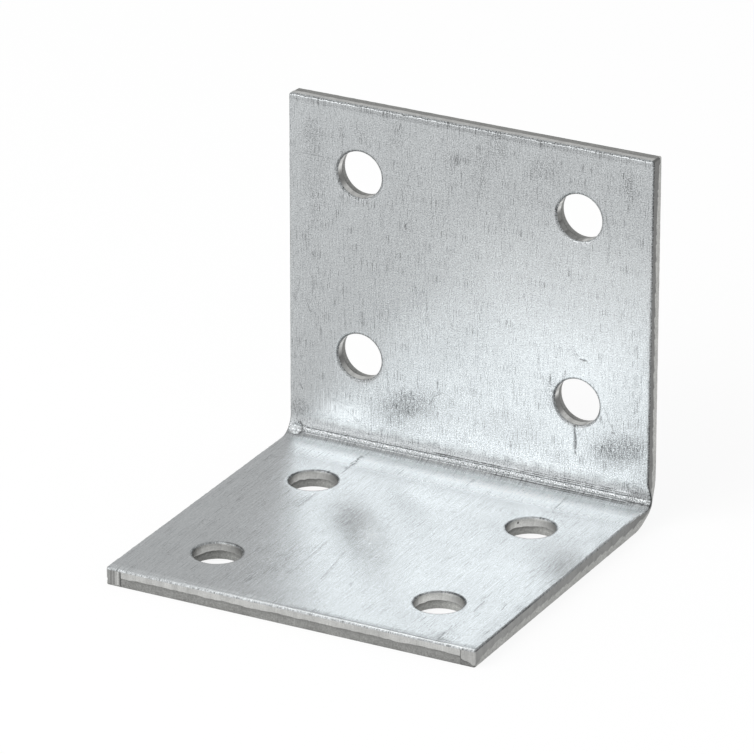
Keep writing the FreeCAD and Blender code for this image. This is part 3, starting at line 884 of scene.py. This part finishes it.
def zinc_material():
    """Bright zinc with fine streaks along the strip, grains, clouds and scratches, and painted
    light and shade on the rolled-over edges, beside the front edge, round the coined line and the
    lump, and over the face.
    """
    material, n = new_material("zinc_face")
    x, along, level = n.split(n.attribute("strip"))
    early, late, _ = n.split(n.attribute("roll"))
    clouds_and_shade, strokes_and_coin_shade, tones = n.split(n.attribute("marks_and_shading"))
    inner = n.ramp(level, RELIEF_DEPTH + 0.05, RELIEF_DEPTH)
    depth = n.product(level, inner)
    s = n.total(along, n.product(n.math("SUBTRACT", 1.0, inner), OUTER_SHIFT))
    place = n.join(x, s)

    # The same places with the base leg squeezed to half its length, so its streaks are longer.
    below = n.math("MINIMUM", n.math("SUBTRACT", s, FOLD_MIDDLE), 0.0)
    drawn = n.join(x, n.total(s, n.product(below, -0.5)))

    upright = n.ramp(s, BASE_FLAT - 1.0, FOLD_END + 1.0)
    on_top = n.ramp(s, FOLD_MIDDLE - 0.25, FOLD_MIDDLE + 0.05)
    near = fold_masks(n, x, s, place)
    pressed = n.math("MAXIMUM", near["coin"], near["lump"])
    coarse = n.math("MAXIMUM", near["coin"], n.product(near["lump"], 1.6))

    # Noise of each kind, and the small dark dashes and specks that it makes.
    fibres = n.noise(drawn, 8.0, 1.7, 2.0, 0.6)
    hairs = n.noise(drawn, 9.0, 0.25)
    grains = n.noise(drawn, 8.5, 7.5, 1.0, 0.6)
    clouds = n.noise(place, 0.16, 0.10, 3.0)
    strands = n.product(
        n.noise(drawn, 5.0, 0.8, 1.0), n.ramp(on_top, 0.0, 1.0, 1.0, 0.0),
        n.ramp(x, 4.0, 14.0, 1.0, 0.65),
    )
    dashes = n.product(
        n.ramp(n.noise(drawn, 11.0, 0.6, 0.0), 0.15, 0.21), n.ramp(upright, 0.0, 1.0, 0.9, 1.3)
    )
    specks = n.ramp(n.noise(drawn, 8.0, 6.0, 0.0), 0.18, 0.28)
    crowd = n.ramp(n.noise(place, 0.5, 0.3), -0.18, 0.2, 0.35, 1.5)
    dark = n.total(
        n.product(crowd, n.weighted((dashes, 0.22), (specks, 0.26))),
        n.product(near["above_coin"], specks, 0.30),
    )
    least = n.ramp(near["from_coin"], 1.2, 0.9, 0.0, 0.65)
    lines = n.product(strokes_and_coin_shade, n.ramp(n.noise(place, 3.0, 3.0), -0.28, -0.02, least))
    # The zinc's clouds and the painted shade, broken up by the streaks.
    streaky = n.product(clouds_and_shade, n.ramp(n.total(fibres, grains, strands), -0.12, 0.14, 2.2, 0.1))

    # Painted shade and highlight on the rolled-over edges, and a painted band of light and shade
    # beside the front edge.
    rolled = n.ramp(depth, 0.012, 0.055)
    rolled_late = n.ramp(depth, 0.07, 0.11)
    rolled_early = n.math("SUBTRACT", n.ramp(depth, 0.006, 0.025), rolled_late)
    painted_roll_light = n.weighted((early, rolled_early), (late, rolled_late))
    painted_front_band = n.product(
        n.ramp(s, 1.2, 0.5), n.ramp(x, -5.0, 3.0, 0.20, -0.26), n.ramp(depth, 0.04, 0.01)
    )

    leg_gain = n.product(
        n.ramp(on_top, 0.0, 1.0, 0.55, 1.30), n.ramp(x, -18.0, 0.0, 0.82, 1.03),
        n.ramp(s, 46.0, 54.0, 1.0, 1.2),
    )
    # Stronger grains on the pressed places and the rolled-over edges paint glints there, as well as
    # their rougher zinc.
    grain_gain = n.weighted((leg_gain, 1.0), (near["fold"], 0.15), (pressed, 1.9), (rolled, 0.8))
    # Painted light and shade enter here: on the rolled-over edges, beside the front edge, above,
    # under, over and past the coined line, on the lump as a highlight, and over the face.
    texture = n.weighted(
        (fibres, n.ramp(upright, 0.0, 1.0, 0.34, 0.46)), (hairs, 0.34), (grains, grain_gain),
        (clouds, 0.10), (strands, 0.20), (near["above_coin"], -0.14), (painted_roll_light, -1.0),
        (painted_front_band, 1.0), (near["shade_under_coin"], -1.0), (near["coin"], -0.30),
        (near["shade_past_coin"], -0.55), (near["light_over_coin"], 0.20), (near["lump"], 0.30), (tones, 1.0),
    )
    factor = n.math("SUBTRACT", n.total(1.0, texture), streaky)
    factor = n.math("SUBTRACT", factor, n.total(lines, dark))
    # Painted reflection that lightens the base leg just before the fold.
    painted_reflection = n.total(1.0, n.product(near["reflection_before_fold"], 0.95))
    factor = n.product(n.math("MAXIMUM", factor, LEAST_FACTOR), painted_reflection)
    leg_roughness = n.ramp(s, BASE_FLAT - 5.0, BASE_FLAT - 1.5, 0.15, 0.25)
    roughness = n.weighted(
        (leg_roughness, 1.0), (fibres, 0.10), (near["above_coin"], 0.38), (coarse, 0.22),
        (rolled, 0.36), (near["reflection_before_fold"], 0.18),
    )
    grain_height = n.total(0.7, n.product(near["fold"], 0.45))
    height = n.weighted((fibres, 1.0), (hairs, 1.2), (grains, grain_height), (lines, -0.5))
    finish_material(n, n.tinted(ZINC_COLOUR, factor), roughness, height, 0.018 * MM, 1.0)
    return material


def edge_material(name, colour, tone_index, roughness, stretch, gain, relief, metallic):
    """A cut edge: burnished with fine lines through the sheet, or torn and grainy, its brightness
    painted light and shade from the tone attribute, with painted shade at one small spot in a
    hole's wall.
    """
    material, n = new_material(name)
    edge = n.attribute("edge")
    in_hole = n.ramp(n.split(edge)[2], HOLE_EDGE - 0.6, HOLE_EDGE - 0.4)
    from_pit = n.vector("DISTANCE", n.attribute("strip"), PIT, output="Value")
    # Painted shade of the small pit in one hole's wall, darkening the colour there.
    pit = n.ramp(from_pit, 0.15, 0.07)
    tone = n.split(n.attribute("tone"))[tone_index]
    lines = n.noise(edge, *stretch, 3.0, 0.6)
    grains = n.noise(edge, 6.0, 6.0, 3.0, 0.6)
    slow = n.noise(edge, 0.5, 0.8)
    factor = n.total(
        1.0, n.product(lines, gain), n.product(grains, gain * 1.6), n.product(slow, gain * 0.7)
    )
    tinted = n.tinted(colour, n.product(factor, tone, n.ramp(pit, 0.0, 1.0, 1.0, 0.15)))
    rough = n.total(roughness, n.product(lines, 0.15), n.product(in_hole, 0.15))
    finish_material(n, tinted, rough, n.total(lines, grains), relief, metallic)
    return material


bracket = sheet_piece()
for material in (
    zinc_material(),
    edge_material("burnished_edge", (0.545, 0.548, 0.535), tone_index=0, roughness=0.30,
                  stretch=(7.0, 0.8), gain=0.42, relief=0.01 * MM, metallic=1.0),
    edge_material("torn_edge", (0.42, 0.423, 0.41), tone_index=1, roughness=0.55,
                  stretch=(4.0, 2.0), gain=0.7, relief=0.03 * MM, metallic=0.85),
):
    bracket.data.materials.append(material)
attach(bracket, "root")
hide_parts("angle_bracket")


def studio_floor():
    """A large pale disc that the bracket stands on."""
    data = bpy.data.meshes.new("studio_floor")
    radius, level = 1.6, -0.01 * MM
    ring = [(radius * math.cos(angle), radius * math.sin(angle), level)
            for angle in np.linspace(0, FULL_TURN, 97)[:-1]]
    data.from_pydata(ring, [], [list(range(len(ring)))])
    floor = bpy.data.objects.new("studio_floor", data)
    bpy.context.collection.objects.link(floor)
    material, n = new_material("pale_floor")
    matt = n.add("ShaderNodeBsdfDiffuse", {"Color": (0.9, 0.9, 0.9, 1.0)})
    white = n.add("ShaderNodeEmission", {"Color": (1.0, 1.0, 1.0, 1.0), "Strength": 1.0})
    path = n.add("ShaderNodeLightPath")
    mirrored = n.total(path.outputs["Is Glossy Ray"], path.outputs["Is Transmission Ray"])
    share = n.weighted((path.outputs["Is Camera Ray"], 0.88), (mirrored, 0.55))
    mixed = n.add("ShaderNodeMixShader", {0: share, 1: matt.outputs[0], 2: white.outputs[0]})
    n.add("ShaderNodeOutputMaterial", {0: mixed.outputs[0]})
    data.materials.append(material)
    return floor


floor = studio_floor()


def softbox(name, direction, distance, size, radiance):
    """A square lamp that faces the bracket, as bright all over as its radiance says."""
    data = bpy.data.lights.new(name, "AREA")
    data.shape = "SQUARE"
    data.size = size
    data.energy = radiance * math.pi * size * size
    lamp = bpy.data.objects.new(name, data)
    aim = Vector(direction).normalized()
    place = Vector((0, 0, 0.02)) + aim * distance
    turn = aim.to_track_quat("Z", "Y").to_matrix().to_4x4()
    lamp.matrix_world = Matrix.Translation(place) @ turn
    lamp.visible_camera = False
    bpy.context.collection.objects.link(lamp)


softbox("front_softbox", (-0.43, -0.81, 0.44), 0.75, 0.66, 3.05)
softbox("top_softbox", (-0.43, -0.40, 0.81), 0.75, 0.34, 2.0)

world = bpy.data.worlds.new("studio")
world.use_nodes = True
background = world.node_tree.nodes["Background"]
background.inputs["Color"].default_value = (0.75, 0.75, 0.75, 1.0)
background.inputs["Strength"].default_value = 1.0
bpy.context.scene.world = world
bpy.context.scene.view_settings.view_transform = "Standard"


def add_camera():
    """The camera at the photograph's viewing angle, fitted to the outline and the hole rims."""
    elevation, azimuth, roll = math.radians(23.211), math.radians(27.880), math.radians(0.043)
    target = Vector((-0.0005, 0, 0.017))
    sideways, upwards, distance = -0.000242, 0.0016072, 0.68293
    back = Vector((
        math.sin(azimuth) * math.cos(elevation),
        -math.cos(azimuth) * math.cos(elevation),
        math.sin(elevation),
    ))
    level = Vector((math.cos(azimuth), math.sin(azimuth), 0))
    above = back.cross(level)
    right = level * math.cos(roll) + above * math.sin(roll)
    up = above * math.cos(roll) - level * math.sin(roll)
    place = target + back * distance + right * sideways + up * upwards
    data = bpy.data.cameras.new("camera")
    data.sensor_width = 36
    data.lens = 329.1
    data.clip_start = 0.01
    data.clip_end = 20
    camera = bpy.data.objects.new("camera", data)
    turn = Matrix((right, up, back)).transposed().to_4x4()
    camera.matrix_world = Matrix.Translation(place) @ turn
    bpy.context.collection.objects.link(camera)
    bpy.context.scene.camera = camera


add_camera()
